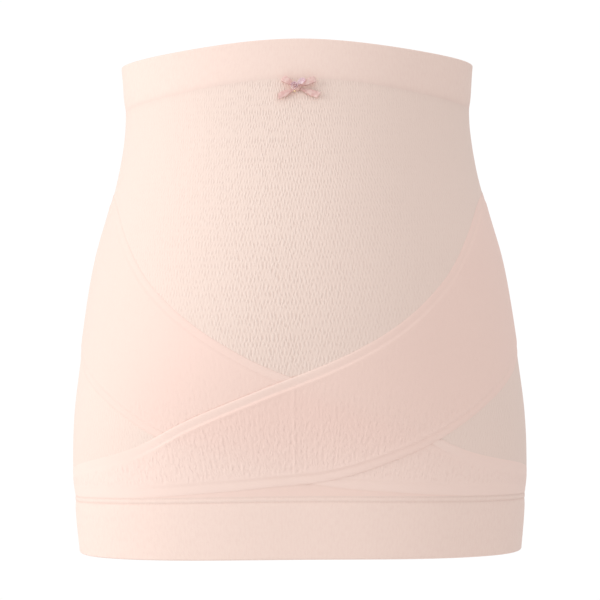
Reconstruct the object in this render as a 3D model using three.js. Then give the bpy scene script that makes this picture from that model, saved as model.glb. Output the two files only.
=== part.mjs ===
// A maternity support belt: a knitted tube that is pulled on over the hips and the belly, with a
// folded waistband and hem, two support bands that cross below the belly, and a small ribbon bow.
// It has the form that it takes when it is worn. Millimetres, +Z up, the front faces -Y.
// The origin is on the wearer's axis at the hip line.
import * as THREE from 'three';

// Driving dimensions of the worn form. Both lengths start at the level of the hem's side edge, above
// which the hem rises a little at the centre front.
const FRONT_LENGTH = 373;
const SIDE_LENGTH = 360.5;
const HIP_HEIGHT = 58.5;
const HIP_HALF_WIDTH = 168.6;
const BELLY_DEPTH = 152;
const SEAT_DEPTH = 126;
const BACK_SQUARENESS = 2.25;
const HEM_FRONT_RISE = 2;

// Cloth
const TUBE_CLOTH = 1.4;
const FOLDED_CLOTH = 2.6;
const BAND_CLOTH = 1.5;
const BAND_EDGE_CLOTH = 0.9;
const BAND_EDGE_WIDTH = 6.5;
const BAND_EDGE_STEP = 1.8;
const SEAM_GAP = 0.3;
const LAYER_GAP = 0.6;
const FOLD_ROUNDING = 1.2;
const FOLD_INSET = FOLDED_CLOTH / 4;

// Folded edges of the tube
const WAISTBAND_FRONT_HEIGHT = 28.8;
const WAISTBAND_SIDE_HEIGHT = 33.5;
const HEM_FRONT_HEIGHT = 47.5;
const HEM_BACK_HEIGHT = 36;

// Support bands: where a band's low end stops past the side, the most of a narrow band's height that
// one edge strip and one step may take, and how gently a band climbs the other
const BAND_END_ANGLE = -108;
const NARROW_STRIP_SHARE = 0.2;
const NARROW_STEP_SHARE = 0.1;
const BAND_CLIMB = 24;
const BAND_CLIMB_LEAD = 5;

// Bow
const BOW_BELOW_WAISTBAND = 7.4;
const RIBBON_CLOTH = 0.5;
const RIBBON_WIDTH = 4.6;
const KNOT_RADIUS = 2.3;
const RIBBON_PINCH_WIDTH = 0.74 * KNOT_RADIUS;
const RIBBON_OPENS = 0.6;
const TAIL_SLANT = RIBBON_WIDTH / 3;
const TAIL_RIDGE_FADE = 0.5;
const LOOP_BULGE = 2.9;
const LOOP_ROOT_BULGE = 0.55 * LOOP_BULGE;
const KNOT_DEPTH = LOOP_BULGE + RIBBON_CLOTH;
const ROSETTE_RADIUS = 3.2;
const ROSETTE_DEPTH = 2.4;
const ROSETTE_RIM_DEPTH = 0.7 * ROSETTE_DEPTH;
const ROSETTE_FLARE = 1.18;
const ROSETTE_OFFSET_X = -1.7;
const ROSETTE_CLOTH = 0.4;
const ROSETTE_HEART_RADIUS = 1.5 * ROSETTE_CLOTH;
const ROSETTE_TURNS = 2.2;
const ROSETTE_END_ANGLE = -80;
const PETAL_LENGTH = 6.2;
const PETAL_WIDTH = 4.2;
const PETAL_DEPTH = 0.95;
const PETAL_DIRECTION = 36;
const PETAL_TUCK = 0.4;
const BEAD_RADIUS = 0.9;

// Facets
const COLUMN_STEP = 6;
const TUBE_ROWS = 15;
const BAND_MIDDLE_ROWS = 6;
const LOOP_COLUMNS = 20;
const TAIL_COLUMNS = 7;
const ROSETTE_COLUMNS = 36;
const LATHE_SIDES = 14;
const BEAD_SIDES = 10;
const BEAD_RINGS = 6;

const HEM_Z = -HIP_HEIGHT;
const TURN = 360;

// Level sections of the worn form, from the hem edge up. height is a share of FRONT_LENGTH, width of
// HIP_HALF_WIDTH, front of BELLY_DEPTH, back of SEAT_DEPTH; square is the front's superellipse power.
const BODY_SECTIONS = [
  { height: 0.00, width: 0.961, front: 0.724, back: 0.905, square: 2.60 },
  { height: 0.10, width: 0.982, front: 0.757, back: 0.984, square: 2.60 },
  { height: 0.16, width: 0.994, front: 0.790, back: 1.000, square: 2.60 },
  { height: 0.27, width: 0.988, front: 0.888, back: 0.968, square: 2.45 },
  { height: 0.38, width: 0.959, front: 0.974, back: 0.881, square: 2.30 },
  { height: 0.48, width: 0.929, front: 1.000, back: 0.798, square: 2.20 },
  { height: 0.58, width: 0.889, front: 0.967, back: 0.730, square: 2.15 },
  { height: 0.68, width: 0.827, front: 0.891, back: 0.690, square: 2.10 },
  { height: 0.76, width: 0.783, front: 0.806, back: 0.679, square: 2.10 },
  { height: 0.84, width: 0.757, front: 0.727, back: 0.690, square: 2.10 },
  { height: 0.91, width: 0.756, front: 0.668, back: 0.714, square: 2.10 },
  { height: 1.00, width: 0.771, front: 0.605, back: 0.754, square: 2.10 },
];

// The support bands' edges as shares of FRONT_LENGTH above the hem edge. angle is in degrees from the
// centre front, positive towards the side where the band climbs to the waist. The over band lies
// a little wider across the front than the under band.
const UNDER_BAND_EDGES = [
  { angle: -110, lower: 0.100, upper: 0.125 },
  { angle: -95, lower: 0.105, upper: 0.149 },
  { angle: -75, lower: 0.113, upper: 0.173 },
  { angle: -50, lower: 0.122, upper: 0.207 },
  { angle: -30, lower: 0.133, upper: 0.268 },
  { angle: -10, lower: 0.145, upper: 0.323 },
  { angle: 10, lower: 0.169, upper: 0.377 },
  { angle: 25, lower: 0.195, upper: 0.439 },
  { angle: 40, lower: 0.236, upper: 0.520 },
  { angle: 55, lower: 0.301, upper: 0.613 },
  { angle: 70, lower: 0.357, upper: 0.683 },
  { angle: 90, lower: 0.407, upper: 0.718 },
  { angle: 120, lower: 0.458, upper: 0.760 },
  { angle: 180, lower: 0.484, upper: 0.779 },
];
const OVER_BAND_EDGES = [
  { angle: -110, lower: 0.100, upper: 0.125 },
  { angle: -95, lower: 0.105, upper: 0.149 },
  { angle: -75, lower: 0.113, upper: 0.176 },
  { angle: -50, lower: 0.122, upper: 0.215 },
  { angle: -30, lower: 0.133, upper: 0.278 },
  { angle: -10, lower: 0.144, upper: 0.333 },
  { angle: 10, lower: 0.157, upper: 0.387 },
  { angle: 25, lower: 0.185, upper: 0.445 },
  { angle: 40, lower: 0.232, upper: 0.529 },
  { angle: 55, lower: 0.301, upper: 0.623 },
  { angle: 70, lower: 0.357, upper: 0.689 },
  { angle: 90, lower: 0.407, upper: 0.718 },
  { angle: 120, lower: 0.458, upper: 0.760 },
  { angle: 180, lower: 0.484, upper: 0.779 },
];

// Ribbon loops and tails of the bow: direction in degrees from +X in the plane of the bow, and the
// reach of the tip from the knot's axis.
const BOW_LOOPS = [
  { name: 'bow_loop_left', direction: 146, reach: 12.6 },
  { name: 'bow_loop_right', direction: 25, reach: 14.6 },
];
const BOW_TAILS = [
  { name: 'bow_tail_left', direction: 206, reach: 15.6 },
  { name: 'bow_tail_right', direction: -21, reach: 17.4 },
];

// Outlines turned about the bow's outward direction: radius is a share of the piece's own radius,
// out a share of its depth.
const KNOT_OUTLINE = [
  { radius: 0, out: 0 },
  { radius: 0.85, out: 0 },
  { radius: 1, out: 0.3 },
  { radius: 1, out: 0.8 },
  { radius: 0.7, out: 1 },
  { radius: 0, out: 1 },
];
const PETAL_OUTLINE = [
  { radius: 0, out: 0 },
  { radius: 0.55, out: 0.1 },
  { radius: 1, out: 0.6 },
  { radius: 0.94, out: 1 },
  { radius: 0.5, out: 0.6 },
  { radius: 0, out: 0.5 },
];

function clothMaterial(color, roughness) {
  return new THREE.MeshStandardMaterial({ color, roughness, metalness: 0, side: THREE.DoubleSide });
}

const MATERIALS = {
  tube: clothMaterial(0xf4e3d8, 0.9),
  folded: clothMaterial(0xf3ddd2, 0.88),
  band: clothMaterial(0xf0d3c9, 0.9),
  ribbon: clothMaterial(0xd9a7a6, 0.45),
  rosette: clothMaterial(0xecd0d6, 0.4),
  bead: new THREE.MeshStandardMaterial({ color: 0xd9b25f, roughness: 0.3, metalness: 0.9 }),
};

const radians = THREE.MathUtils.degToRad;
const blend = THREE.MathUtils.lerp;

// Smooth curve through one column of a table whose rows are sorted by the column named by key.
function follow(table, key, column, where) {
  const last = table.length - 1;
  const at = THREE.MathUtils.clamp(where, table[0][key], table[last][key]);
  const slope = (i) => {
    const before = table[Math.max(i - 1, 0)];
    const after = table[Math.min(i + 1, last)];
    return (after[column] - before[column]) / (after[key] - before[key]);
  };
  const i = Math.min(table.findLastIndex((row) => row[key] <= at), last - 1);
  const [low, high] = [table[i], table[i + 1]];
  const span = high[key] - low[key];
  const t = (at - low[key]) / span;
  const rise = t * t * (3 - 2 * t);
  return low[column] + (high[column] - low[column]) * rise
    + span * t * (1 - t) * (slope(i) * (1 - t) - slope(i + 1) * t);
}

// Point of the worn form at an angle in degrees from the centre front and at a height, moved
// outwards by a cloth thickness.
function skinPoint(angle, z, outwards) {
  const height = (z - HEM_Z) / FRONT_LENGTH;
  const size = (column) => follow(BODY_SECTIONS, 'height', column, height);
  const sideways = Math.sin(radians(angle));
  const ahead = Math.cos(radians(angle));
  const depth = ahead > 0 ? size('front') * BELLY_DEPTH : size('back') * SEAT_DEPTH;
  const power = ahead > 0 ? size('square') : BACK_SQUARENESS;
  const width = size('width') * HIP_HALF_WIDTH;
  const radius = (Math.abs(sideways / (width + outwards)) ** power
    + Math.abs(ahead / (depth + outwards)) ** power) ** (-1 / power);
  return new THREE.Vector3(radius * sideways, -radius * ahead, z);
}

// 1 at the centre front, falling to 0 at the sides, and 0 over the whole back
function frontArch(angle) {
  return Math.max(Math.cos(radians(angle)), 0) ** 2;
}

function hemEdge(angle) {
  return HEM_Z + HEM_FRONT_RISE * frontArch(angle);
}

function topEdge(angle) {
  return HEM_Z + blend(SIDE_LENGTH, FRONT_LENGTH, frontArch(angle));
}

function waistSeam(angle) {
  return topEdge(angle) - blend(WAISTBAND_SIDE_HEIGHT, WAISTBAND_FRONT_HEIGHT, frontArch(angle));
}

function hemSeam(angle) {
  return HEM_Z + blend(HEM_BACK_HEIGHT, HEM_FRONT_HEIGHT, (1 + Math.cos(radians(angle))) / 2);
}

// Upper and lower edge of a support band. The lower edge stays on the hem seam where they meet.
function bandEdges(table, angle) {
  const edge = (column) => HEM_Z + follow(table, 'angle', column, angle) * FRONT_LENGTH;
  const lower = Math.max(edge('lower'), hemSeam(angle) + SEAM_GAP);
  const upper = Math.max(edge('upper'), lower + BAND_EDGE_STEP);
  return { lower, upper };
}

// Closed solid from columns that each hold matching rows of points on the outer and the inner face.
// Each four-sided facet is split along its shorter diagonal.
function wallGeometry(columns, closed) {
  const rows = columns[0].outer.length;
  const loop = 2 * rows;
  const points = columns.flatMap(({ outer, inner }) => [...outer, ...inner.toReversed()]);
  const indices = [];
  const addFacet = (a, b, c, d) => {
    const split = points[a].distanceTo(points[c]) <= points[b].distanceTo(points[d]);
    indices.push(...(split ? [a, b, c, a, c, d] : [a, b, d, b, c, d]));
  };
  const spans = closed ? columns.length : columns.length - 1;
  for (let column = 0; column < spans; column++) {
    const here = column * loop;
    const next = ((column + 1) % columns.length) * loop;
    for (let row = 0; row < loop; row++) {
      const above = (row + 1) % loop;
      addFacet(here + row, next + row, next + above, here + above);
    }
  }
  if (!closed) {
    const end = (columns.length - 1) * loop;
    for (let row = 0; row < rows - 1; row++) {
      const [outer, outerAbove, inner, innerAbove] = [row, row + 1, loop - 1 - row, loop - 2 - row];
      addFacet(outer, outerAbove, innerAbove, inner);
      addFacet(end + outer, end + inner, end + innerAbove, end + outerAbove);
    }
  }
  const geometry = new THREE.BufferGeometry();
  geometry.setAttribute('position', new THREE.Float32BufferAttribute(points.flatMap((p) => p.toArray()), 3));
  geometry.setIndex(indices);
  geometry.computeVertexNormals();
  return geometry;
}

function namedMesh(name, geometry, material) {
  const mesh = new THREE.Mesh(geometry, material);
  mesh.name = name;
  return mesh;
}

// Ring of cloth right round the body. rows(angle) lists its rows, each with a height and the inner
// and outer face's distance from the body.
function clothRing(rows) {
  const columns = [];
  for (let angle = 0; angle < TURN; angle += COLUMN_STEP) {
    const levels = rows(angle);
    columns.push({
      outer: levels.map(({ z, outer }) => skinPoint(angle, z, outer)),
      inner: levels.map(({ z, inner }) => skinPoint(angle, z, inner)),
    });
  }
  return wallGeometry(columns, true);
}

function tubeBody() {
  return clothRing((angle) => {
    const bottom = hemSeam(angle) + SEAM_GAP / 2;
    const top = waistSeam(angle) - SEAM_GAP / 2;
    return Array.from({ length: TUBE_ROWS + 1 }, (_, row) => (
      { z: blend(bottom, top, row / TUBE_ROWS), inner: 0, outer: TUBE_CLOTH }
    ));
  });
}

function waistband() {
  return clothRing((angle) => {
    const bottom = waistSeam(angle) + SEAM_GAP / 2;
    const top = topEdge(angle);
    return [
      { z: bottom, inner: 0, outer: FOLDED_CLOTH },
      { z: (bottom + top) / 2, inner: 0, outer: FOLDED_CLOTH },
      { z: top - FOLD_ROUNDING, inner: 0, outer: FOLDED_CLOTH },
      { z: top, inner: FOLD_INSET, outer: FOLDED_CLOTH - FOLD_INSET },
    ];
  });
}

function hemBand() {
  return clothRing((angle) => {
    const bottom = hemEdge(angle);
    const top = hemSeam(angle) - SEAM_GAP / 2;
    return [
      { z: bottom, inner: FOLD_INSET, outer: FOLDED_CLOTH - FOLD_INSET },
      { z: bottom + FOLD_ROUNDING, inner: 0, outer: FOLDED_CLOTH },
      { z: (bottom + top) / 2, inner: 0, outer: FOLDED_CLOTH },
      { z: top, inner: 0, outer: FOLDED_CLOTH },
    ];
  });
}

// How far the over band is lifted by the under band at a point: nothing away from it, and its whole
// thickness on top of it.
function liftOverBand(angle, z) {
  const under = bandEdges(UNDER_BAND_EDGES, -angle);
  const inside = Math.min(z - under.lower, under.upper - z);
  const share = THREE.MathUtils.smoothstep(inside, -BAND_CLIMB, -BAND_CLIMB_LEAD);
  return share * (BAND_CLOTH + LAYER_GAP);
}

// One support band. side is 1 where the band climbs towards +X and -1 where it climbs towards -X.
// Its two edges are a thinner strip, and the middle is full cloth.
function supportBand(table, side, lift) {
  const backSeam = THREE.MathUtils.radToDeg(SEAM_GAP / SEAT_DEPTH);
  const angles = [];
  for (let angle = BAND_END_ANGLE; angle < TURN / 2; angle += COLUMN_STEP) angles.push(angle);
  angles.push(TURN / 2 - backSeam);
  const columns = angles.map((angle) => {
    const { lower, upper } = bandEdges(table, angle);
    const strip = Math.min(BAND_EDGE_WIDTH, (upper - lower) * NARROW_STRIP_SHARE);
    const step = Math.min(BAND_EDGE_STEP, (upper - lower) * NARROW_STEP_SHARE);
    const [low, high] = [lower + strip + step, upper - strip - step];
    const rows = [{ z: lower, cloth: BAND_EDGE_CLOTH }, { z: lower + strip, cloth: BAND_EDGE_CLOTH }];
    for (let row = 0; row <= BAND_MIDDLE_ROWS; row++) {
      rows.push({ z: blend(low, high, row / BAND_MIDDLE_ROWS), cloth: BAND_CLOTH });
    }
    rows.push({ z: upper - strip, cloth: BAND_EDGE_CLOTH }, { z: upper, cloth: BAND_EDGE_CLOTH });
    const seat = ({ z }) => TUBE_CLOTH + LAYER_GAP + lift(side * angle, z);
    return {
      outer: rows.map((row) => skinPoint(side * angle, row.z, seat(row) + row.cloth)),
      inner: rows.map((row) => skinPoint(side * angle, row.z, seat(row))),
    };
  });
  return wallGeometry(side > 0 ? columns : columns.reverse(), false);
}

// Frame of the bow: centred below the waist seam, level with the waistband's outer face, and
// leaning as the cloth does there.
function bowFrame() {
  const z = waistSeam(0) - BOW_BELOW_WAISTBAND;
  const seat = skinPoint(0, z, FOLDED_CLOTH + SEAM_GAP);
  const below = skinPoint(0, z - RIBBON_WIDTH, FOLDED_CLOTH + SEAM_GAP);
  const frame = new THREE.Group();
  frame.position.copy(seat);
  frame.rotation.x = -Math.atan2(seat.y - below.y, seat.z - below.z);
  return frame;
}

// Point in the bow's frame: along and across a ribbon that leaves the knot in a direction, and out
// from the cloth.
function bowPoint(direction, along, across, out) {
  const angle = radians(direction);
  const x = along * Math.cos(angle) - across * Math.sin(angle);
  const z = along * Math.sin(angle) + across * Math.cos(angle);
  return new THREE.Vector3(x, -out, z);
}

// Ribbon that is pinched at the knot and opens to its full width on the way to the tip
function ribbonHalfWidth(share) {
  return blend(RIBBON_PINCH_WIDTH, RIBBON_WIDTH, THREE.MathUtils.smoothstep(share, 0, RIBBON_OPENS)) / 2;
}

// A loop of ribbon: its front and back ply leave the knot and meet in a round fold at the tip.
function bowLoop({ direction, reach }) {
  const start = KNOT_RADIUS + SEAM_GAP;
  const middle = LOOP_BULGE / 2 + RIBBON_CLOTH;
  const outline = (turn, inset) => {
    const share = (1 - Math.cos(turn)) / 2;
    const half = blend(LOOP_ROOT_BULGE, LOOP_BULGE, share) / 2 - inset;
    return { along: blend(start + inset, reach - inset, share), out: half * Math.sin(turn) + middle, share };
  };
  const columns = [];
  for (let i = 0; i < LOOP_COLUMNS; i++) {
    const turn = 2 * Math.PI * i / LOOP_COLUMNS;
    const ply = (inset) => {
      const { along, out, share } = outline(turn, inset);
      return [-1, 0, 1].map((across) => bowPoint(direction, along, across * ribbonHalfWidth(share), out));
    };
    columns.push({ outer: ply(0), inner: ply(RIBBON_CLOTH) });
  }
  return wallGeometry(columns, true);
}

// A tail of ribbon: a shallow ridge along its middle and a slanting cut at its end
function bowTail({ direction, reach }) {
  const start = KNOT_RADIUS + SEAM_GAP;
  const columns = [];
  for (let i = 0; i <= TAIL_COLUMNS; i++) {
    const share = i / TAIL_COLUMNS;
    const half = ribbonHalfWidth(share);
    const ply = (thickness) => [-1, 0, 1].map((across) => {
      const along = blend(start, reach - TAIL_SLANT * share * (1 - across) / 2, share);
      const ridge = (1 - Math.abs(across)) * RIBBON_CLOTH * (1 - share * TAIL_RIDGE_FADE);
      return bowPoint(direction, along, across * half, thickness + ridge);
    });
    columns.push({ outer: ply(RIBBON_CLOTH), inner: ply(0) });
  }
  return wallGeometry(columns, false);
}

// Solid turned about the bow's outward direction from an outline that is scaled to a radius and runs
// from one distance from the cloth to another.
function turnedSolid(outline, radius, back, front) {
  const profile = outline.map((row) => new THREE.Vector2(row.radius * radius, blend(back, front, row.out)));
  return new THREE.LatheGeometry(profile, LATHE_SIDES).rotateX(Math.PI);
}

// The knot: a round lump whose back reaches in to the tube
function bowKnot() {
  return turnedSolid(KNOT_OUTLINE, KNOT_RADIUS, TUBE_CLOTH - FOLDED_CLOTH, KNOT_DEPTH);
}

// A strip of ribbon wound into a small rose: the coil widens turn by turn and its rim opens out.
function bowRosette() {
  const back = KNOT_DEPTH + SEAM_GAP;
  const columns = [];
  for (let i = 0; i <= ROSETTE_COLUMNS; i++) {
    const share = i / ROSETTE_COLUMNS;
    const turn = ROSETTE_END_ANGLE - TURN * ROSETTE_TURNS * (1 - share);
    const radius = blend(ROSETTE_HEART_RADIUS, ROSETTE_RADIUS / ROSETTE_FLARE, share);
    const depth = blend(ROSETTE_DEPTH, ROSETTE_RIM_DEPTH, share);
    const ply = (inset) => [
      bowPoint(turn, radius - inset, 0, back),
      bowPoint(turn, radius * ROSETTE_FLARE - inset, 0, back + depth),
    ];
    columns.push({ outer: ply(0), inner: ply(ROSETTE_CLOTH) });
  }
  return wallGeometry(columns, false).translate(ROSETTE_OFFSET_X, 0, 0);
}

// A petal beside the rose: a shallow oval dish, higher at its rim
function bowPetal() {
  return turnedSolid(PETAL_OUTLINE, PETAL_WIDTH / 2, 0, PETAL_DEPTH)
    .scale(PETAL_LENGTH / PETAL_WIDTH, 1, 1)
    .rotateY(-radians(PETAL_DIRECTION));
}

function bowBead() {
  return new THREE.SphereGeometry(BEAD_RADIUS, BEAD_SIDES, BEAD_RINGS);
}

const belt = new THREE.Group();
belt.add(
  namedMesh('waistband', waistband(), MATERIALS.folded),
  namedMesh('tube_body', tubeBody(), MATERIALS.tube),
  namedMesh('hem_band', hemBand(), MATERIALS.folded),
  namedMesh('cross_band_under', supportBand(UNDER_BAND_EDGES, -1, () => 0), MATERIALS.band),
  namedMesh('cross_band_over', supportBand(OVER_BAND_EDGES, 1, liftOverBand), MATERIALS.band),
);

const bow = bowFrame();
for (const loop of BOW_LOOPS) bow.add(namedMesh(loop.name, bowLoop(loop), MATERIALS.ribbon));
for (const tail of BOW_TAILS) bow.add(namedMesh(tail.name, bowTail(tail), MATERIALS.ribbon));
bow.add(namedMesh('bow_knot', bowKnot(), MATERIALS.ribbon));
bow.add(namedMesh('bow_rosette', bowRosette(), MATERIALS.rosette));

const roseBack = KNOT_DEPTH + SEAM_GAP;
const petal = namedMesh('bow_petal', bowPetal(), MATERIALS.rosette);
const petalReach = ROSETTE_RADIUS - PETAL_TUCK + PETAL_LENGTH / 2;
petal.position.copy(bowPoint(PETAL_DIRECTION, petalReach, 0, roseBack));
petal.position.x += ROSETTE_OFFSET_X;
bow.add(petal);

const bead = namedMesh('bow_bead', bowBead(), MATERIALS.bead);
bead.position.set(ROSETTE_OFFSET_X, -roseBack - BEAD_RADIUS, -ROSETTE_RADIUS - SEAM_GAP - BEAD_RADIUS);
bow.add(bead);
belt.add(bow);

export default belt;
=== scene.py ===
import math

import bpy
import numpy as np
from mathutils import Matrix, Vector


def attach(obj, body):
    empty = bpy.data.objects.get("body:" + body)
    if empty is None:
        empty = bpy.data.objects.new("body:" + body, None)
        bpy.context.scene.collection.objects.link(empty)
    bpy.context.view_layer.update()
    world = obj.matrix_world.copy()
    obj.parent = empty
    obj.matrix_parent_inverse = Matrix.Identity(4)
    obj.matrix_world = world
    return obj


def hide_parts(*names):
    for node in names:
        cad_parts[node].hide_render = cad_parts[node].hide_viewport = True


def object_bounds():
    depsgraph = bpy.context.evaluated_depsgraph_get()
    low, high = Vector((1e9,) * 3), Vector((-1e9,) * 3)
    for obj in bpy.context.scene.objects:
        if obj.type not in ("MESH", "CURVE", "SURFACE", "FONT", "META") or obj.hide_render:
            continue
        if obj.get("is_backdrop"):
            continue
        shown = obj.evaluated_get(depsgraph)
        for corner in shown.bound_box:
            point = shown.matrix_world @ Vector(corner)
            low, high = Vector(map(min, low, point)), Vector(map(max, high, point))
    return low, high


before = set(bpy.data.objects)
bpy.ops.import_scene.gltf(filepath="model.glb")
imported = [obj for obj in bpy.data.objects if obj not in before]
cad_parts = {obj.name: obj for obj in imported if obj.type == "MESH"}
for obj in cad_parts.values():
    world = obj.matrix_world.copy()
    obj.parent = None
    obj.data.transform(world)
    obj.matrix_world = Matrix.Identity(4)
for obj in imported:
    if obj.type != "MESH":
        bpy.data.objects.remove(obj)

# Everything is in metres, +Z up, with the front facing -Y.
CAD_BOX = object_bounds()
MM = 0.001

# Worn form, as in the solids
FRONT_LENGTH = 373 * MM
SIDE_LENGTH = 360.5 * MM
HEM_Z = -58.5 * MM
HIP_HALF_WIDTH = 168.6 * MM
BELLY_DEPTH = 152 * MM
SEAT_DEPTH = 126 * MM
BACK_SQUARENESS = 2.25
HEM_FRONT_RISE = 2 * MM
WAISTBAND_FRONT_HEIGHT = 28.8 * MM
WAISTBAND_SIDE_HEIGHT = 33.5 * MM
HEM_FRONT_HEIGHT = 47.5 * MM
HEM_BACK_HEIGHT = 36 * MM
BAND_END_ANGLE = -108

# Cloth
TUBE_CLOTH = 1.4 * MM
FOLDED_CLOTH = 2.6 * MM
NARROWEST_BAND = 2.2 * MM
SEAM_GAP = 0.01 * MM
LAYER_GAP = 0.04 * MM
PIECE_GAP = 0.3 * MM

# Starts of the random reliefs
SEEDS = {"tube": 11, "waist": 12, "hem": 13, "waistband": 21, "hem_band": 22, "under": 41, "over": 51}

# Level sections of the worn form, from the hem edge up. height is a share of FRONT_LENGTH, width of
# HIP_HALF_WIDTH, front of BELLY_DEPTH, back of SEAT_DEPTH; square is the front's superellipse power.
BODY_SECTIONS = {
    "height": (0.00, 0.10, 0.16, 0.27, 0.38, 0.48, 0.58, 0.68, 0.76, 0.84, 0.91, 1.00),
    "width": (0.961, 0.982, 0.994, 0.988, 0.959, 0.929, 0.889, 0.827, 0.783, 0.757, 0.756, 0.771),
    "front": (0.724, 0.757, 0.790, 0.888, 0.974, 1.000, 0.967, 0.891, 0.806, 0.727, 0.668, 0.605),
    "back": (0.905, 0.984, 1.000, 0.968, 0.881, 0.798, 0.730, 0.690, 0.679, 0.690, 0.714, 0.754),
    "square": (2.60, 2.60, 2.60, 2.45, 2.30, 2.20, 2.15, 2.10, 2.10, 2.10, 2.10, 2.10),
}

# The support bands' edges as shares of FRONT_LENGTH above the hem edge. angle is in degrees from the
# centre front, positive towards the side where the band climbs to the waist.
BAND_EDGE_ANGLES = (-110, -95, -75, -50, -30, -10, 10, 25, 40, 55, 70, 90, 120, 180)
UNDER_BAND_EDGES = {
    "angle": BAND_EDGE_ANGLES,
    "lower": (
        *(0.100, 0.105, 0.113, 0.122, 0.133, 0.145, 0.169),
        *(0.195, 0.236, 0.301, 0.357, 0.407, 0.458, 0.484),
    ),
    "upper": (
        *(0.125, 0.149, 0.173, 0.207, 0.268, 0.323, 0.377),
        *(0.439, 0.520, 0.613, 0.683, 0.718, 0.760, 0.779),
    ),
}
OVER_BAND_EDGES = {
    "angle": BAND_EDGE_ANGLES,
    "lower": (
        *(0.100, 0.105, 0.113, 0.122, 0.133, 0.144, 0.157),
        *(0.185, 0.232, 0.301, 0.357, 0.407, 0.458, 0.484),
    ),
    "upper": (
        *(0.125, 0.149, 0.176, 0.215, 0.278, 0.333, 0.387),
        *(0.445, 0.529, 0.623, 0.689, 0.718, 0.760, 0.779),
    ),
}

# Camera: the place that the photograph's outline and lines of sight give
CAMERA_PLACE = (0.95 * MM, -2.0, 127.5 * MM)
CAMERA_LENS_MM = 160
CAMERA_ROLL = math.radians(-0.41)


def smooth_step(value, low, high):
    """0 below low, 1 above high and a smooth rise between them."""
    share = np.clip((value - low) / (high - low), 0, 1)
    return share * share * (3 - 2 * share)


def blend(low, high, share):
    return low + (high - low) * share


def follow(table, key, column, where):
    """Smooth curve through one column of a table whose rows are sorted by the column named by key."""
    at = np.array(table[key], float)
    value = np.array(table[column], float)
    last = len(at) - 1
    before = np.maximum(np.arange(last + 1) - 1, 0)
    after = np.minimum(np.arange(last + 1) + 1, last)
    slope = (value[after] - value[before]) / (at[after] - at[before])
    where = np.clip(where, at[0], at[-1])
    i = np.clip(np.searchsorted(at, where, side="right") - 1, 0, last - 1)
    span = at[i + 1] - at[i]
    t = (where - at[i]) / span
    rise = t * t * (3 - 2 * t)
    bend = span * t * (1 - t) * (slope[i] * (1 - t) - slope[i + 1] * t)
    return value[i] + (value[i + 1] - value[i]) * rise + bend


def skin_point(angle, z, out):
    """Points of the worn form at angles in degrees from the centre front, moved out by a thickness."""
    angle, z, out = np.broadcast_arrays(np.asarray(angle, float), z, out)
    height = (z - HEM_Z) / FRONT_LENGTH
    side, ahead = np.sin(np.radians(angle)), np.cos(np.radians(angle))
    front = ahead > 0
    depth = np.where(
        front,
        follow(BODY_SECTIONS, "height", "front", height) * BELLY_DEPTH,
        follow(BODY_SECTIONS, "height", "back", height) * SEAT_DEPTH,
    )
    power = np.where(front, follow(BODY_SECTIONS, "height", "square", height), BACK_SQUARENESS)
    width = follow(BODY_SECTIONS, "height", "width", height) * HIP_HALF_WIDTH
    sideways, forwards = np.abs(side / (width + out)), np.abs(ahead / (depth + out))
    radius = (sideways**power + forwards**power) ** (-1 / power)
    return np.stack([radius * side, -radius * ahead, z], -1)


def front_arch(angle):
    """1 at the centre front, falling to 0 at the sides, and 0 over the whole back."""
    return np.maximum(np.cos(np.radians(angle)), 0) ** 2


def hem_edge(angle):
    return HEM_Z + HEM_FRONT_RISE * front_arch(angle)


def top_edge(angle):
    return HEM_Z + blend(SIDE_LENGTH, FRONT_LENGTH, front_arch(angle))


def waist_seam(angle):
    return top_edge(angle) - blend(WAISTBAND_SIDE_HEIGHT, WAISTBAND_FRONT_HEIGHT, front_arch(angle))


def hem_seam(angle):
    return HEM_Z + blend(HEM_BACK_HEIGHT, HEM_FRONT_HEIGHT, (1 + np.cos(np.radians(angle))) / 2)


def band_edges(table, angle):
    """Lower and upper edge of a support band. The lower edge stays on the hem seam where they meet."""
    lower = HEM_Z + follow(table, "angle", "lower", angle) * FRONT_LENGTH
    upper = HEM_Z + follow(table, "angle", "upper", angle) * FRONT_LENGTH
    lower = np.maximum(lower, hem_seam(angle) + SEAM_GAP)
    return lower, np.maximum(upper, lower + NARROWEST_BAND)


# Places round the cloth: a distance in metres from the centre front along one level section
PLACE_HEIGHT = 0.27
PLACE_STEPS = 1440
place_angles = np.linspace(-180, 180, PLACE_STEPS + 1)
place_points = skin_point(place_angles, HEM_Z + PLACE_HEIGHT * FRONT_LENGTH, TUBE_CLOTH)
place_steps = np.linalg.norm(np.diff(place_points, axis=0), axis=1)
GIRTH = float(place_steps.sum())
place_lengths = np.concatenate([[0], np.cumsum(place_steps)]) - GIRTH / 2


def place_of(angle):
    return np.interp(angle, place_angles, place_lengths)


def angle_of(place):
    return np.interp(place, place_lengths, place_angles)


WANDER_CELLS = 256


def wander(x, y, cell_x, cell_y, seed):
    """Smooth random relief from -1 to 1 with cells of the given size, the same on each run."""
    size = WANDER_CELLS
    lattice = np.random.default_rng(seed).uniform(-1, 1, (size, size))
    gx, gy = np.broadcast_arrays(x / cell_x, y / cell_y)
    ix, iy = np.floor(gx).astype(int), np.floor(gy).astype(int)
    fx, fy = smooth_step(gx - ix, 0, 1), smooth_step(gy - iy, 0, 1)
    corner = lambda dx, dy: lattice[(ix + dx) % size, (iy + dy) % size]
    return blend(blend(corner(0, 0), corner(1, 0), fx), blend(corner(0, 1), corner(1, 1), fx), fy)


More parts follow.
